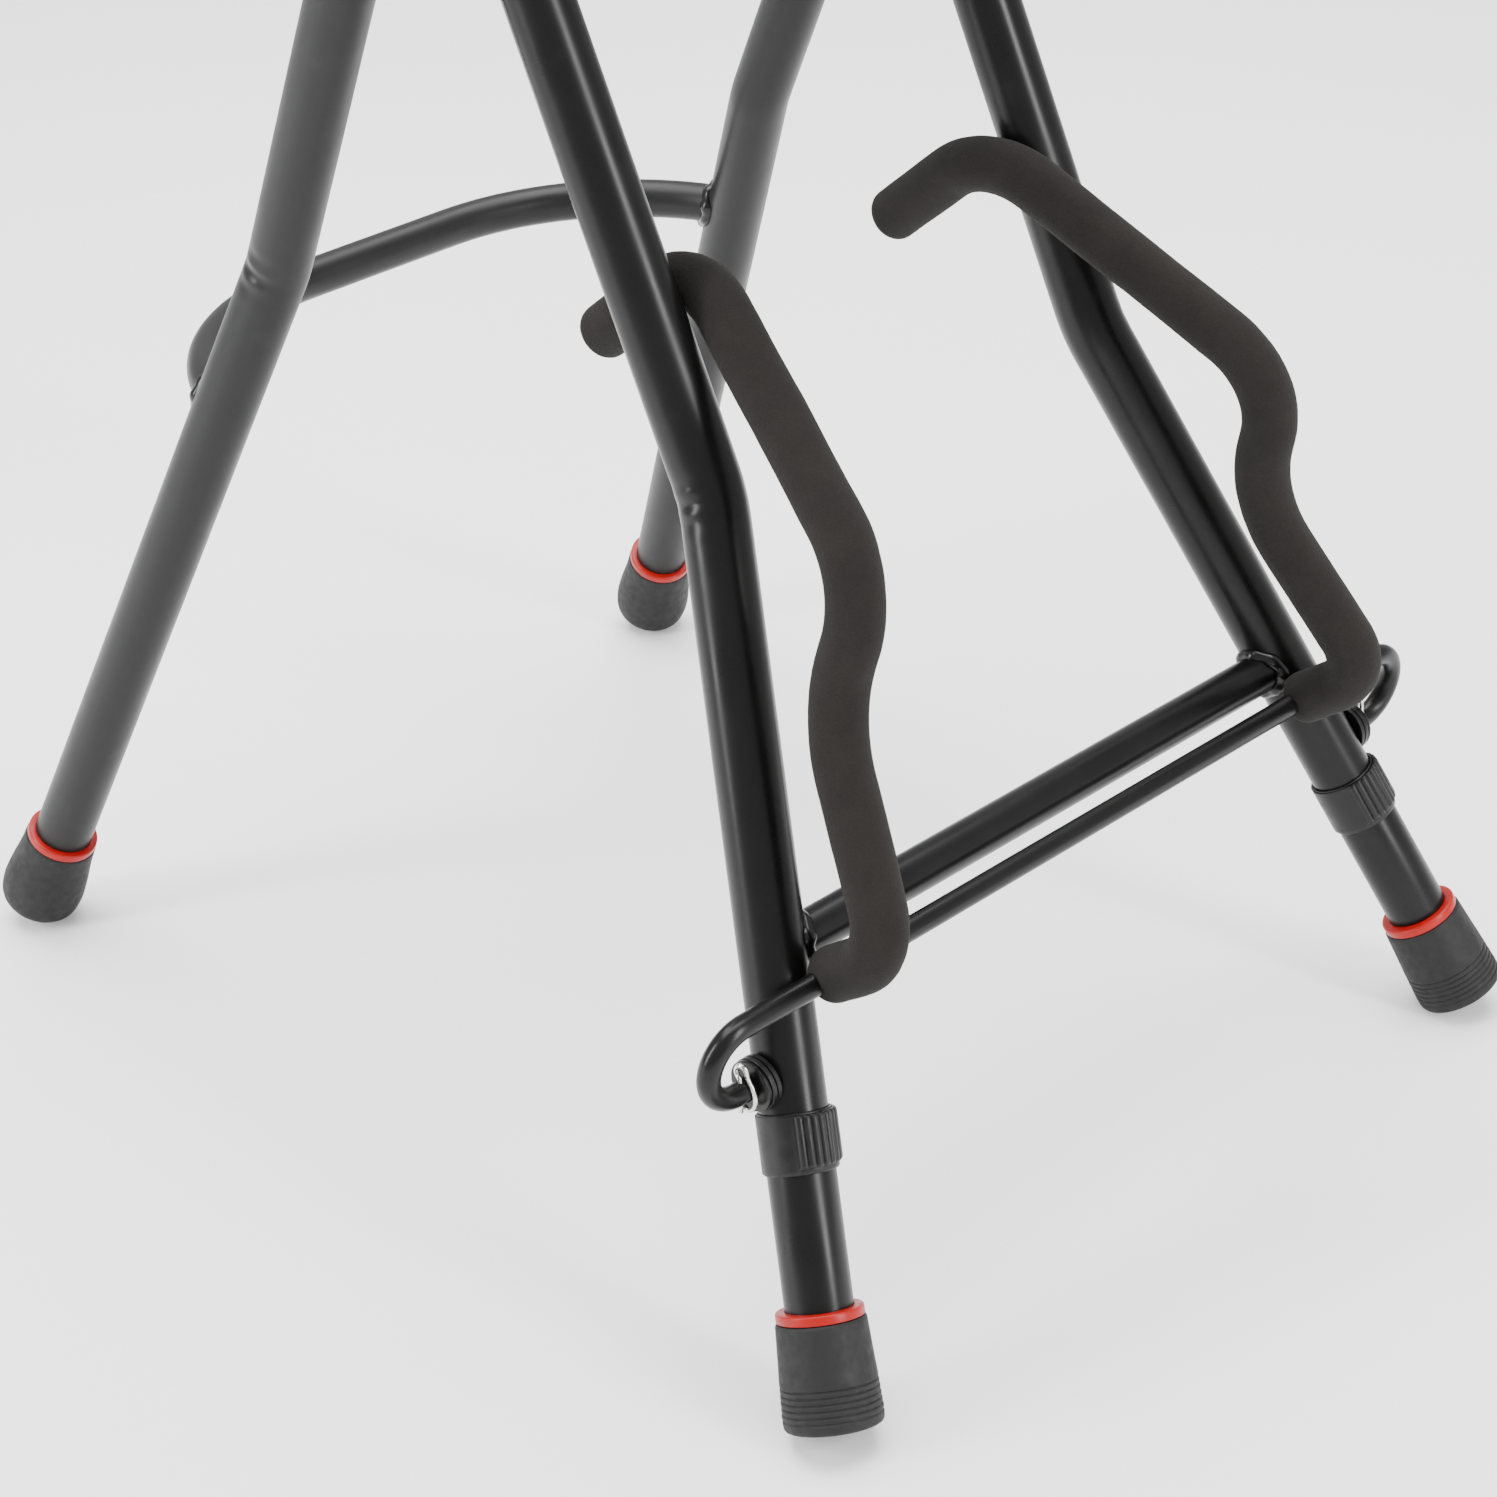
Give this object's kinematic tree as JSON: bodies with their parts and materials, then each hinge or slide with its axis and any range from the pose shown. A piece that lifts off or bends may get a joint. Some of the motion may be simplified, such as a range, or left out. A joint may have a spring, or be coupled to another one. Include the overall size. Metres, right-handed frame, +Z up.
{
  "type": "guitar rack",
  "caption": "Folding X-frame stool in black tube with a fold-out foam-covered guitar cradle, footrest bar and adjustable rear legs.",
  "frame": {"origin": "on the floor under the middle of the stool", "axes": "+Z up, +Y towards the footrest side, +X to the right seen from the cradle side"},
  "size_m": [0.4656, 0.6077, 0.7966],
  "materials": {
    "powder_coat": "gloss",
    "satin_powder_coat": "satin",
    "foam": "matte",
    "black_plastic": "satin",
    "zinc": "satin",
    "rubber": "matte",
    "red_plastic": "gloss",
    "plywood": "matte",
    "vinyl": "satin"
  },
  "bodies": {
    "footrest_frame": {"footrest_frame": "satin_powder_coat", "footrest_bar": "satin_powder_coat", "foot_footrest_left": "rubber", "foot_ring_footrest_left": "red_plastic", "fold_bolt_left": "zinc", "fold_nut_left": "zinc", "fold_washer_left": "black_plastic", "foot_footrest_right": "rubber", "foot_ring_footrest_right": "red_plastic", "fold_bolt_right": "zinc", "fold_nut_right": "zinc", "fold_washer_right": "black_plastic"},
    "cradle_frame": {"cradle_frame": "powder_coat", "crossbar": "powder_coat", "collar_sleeve_left": "black_plastic", "pivot_spacer_left": "black_plastic", "collar_sleeve_right": "black_plastic", "pivot_spacer_right": "black_plastic"},
    "cradle": {"cradle_rod": "powder_coat", "arm_rod_left": "powder_coat", "foam_sleeve_left": "foam", "pivot_washer_left": "powder_coat", "split_pin_left": "zinc", "arm_rod_right": "powder_coat", "foam_sleeve_right": "foam", "pivot_washer_right": "powder_coat", "split_pin_right": "zinc"},
    "seat": {"seat_board": "plywood", "seat_cushion": "vinyl", "hinge_strap_left": "powder_coat", "seat_catch_left": "powder_coat", "strap_screw_front_left": "zinc", "strap_screw_back_left": "zinc", "catch_screw_left": "zinc", "hinge_strap_right": "powder_coat", "seat_catch_right": "powder_coat", "strap_screw_front_right": "zinc", "strap_screw_back_right": "zinc", "catch_screw_right": "zinc"},
    "extension_left": {"leg_extension_left": "powder_coat", "foot_cradle_left": "rubber", "foot_ring_cradle_left": "red_plastic"},
    "collar_left": {"lock_collar_left": "black_plastic"},
    "extension_right": {"leg_extension_right": "powder_coat", "foot_cradle_right": "rubber", "foot_ring_cradle_right": "red_plastic"},
    "collar_right": {"lock_collar_right": "black_plastic"}
  },
  "joints": [
    {"name": "frame_fold", "type": "hinge", "parent": "footrest_frame", "child": "cradle_frame", "pos_m": [0, 0, 0.612], "axis": [1, 0, 0], "range_deg": [0, 46]},
    {"name": "seat_tilt", "type": "hinge", "parent": "footrest_frame", "child": "seat", "pos_m": [0, -0.04988, 0.717], "axis": [1, 0, 0], "range_deg": [0, 108]},
    {"name": "cradle_swing", "type": "hinge", "parent": "cradle_frame", "child": "cradle", "pos_m": [0, -0.22515, 0.138], "axis": [1, 0, 0], "range_deg": [0, 107]},
    {"name": "leg_slide_left", "type": "slide", "parent": "cradle_frame", "child": "extension_left", "axis": [-0.2597, -0.4143, -0.8723], "range_m": [0, 0.03]},
    {"name": "collar_twist_left", "type": "hinge", "parent": "cradle_frame", "child": "collar_left", "pos_m": [-0.18674, -0.24306, 0.1003], "axis": [0.2597, 0.4143, 0.8723], "range_deg": [0, 90]},
    {"name": "leg_slide_right", "type": "slide", "parent": "cradle_frame", "child": "extension_right", "axis": [0.2597, -0.4143, -0.8723], "range_m": [0, 0.03]},
    {"name": "collar_twist_right", "type": "hinge", "parent": "cradle_frame", "child": "collar_right", "pos_m": [0.18674, -0.24306, 0.1003], "axis": [-0.2597, 0.4143, 0.8723], "range_deg": [0, 90]}
  ]
}
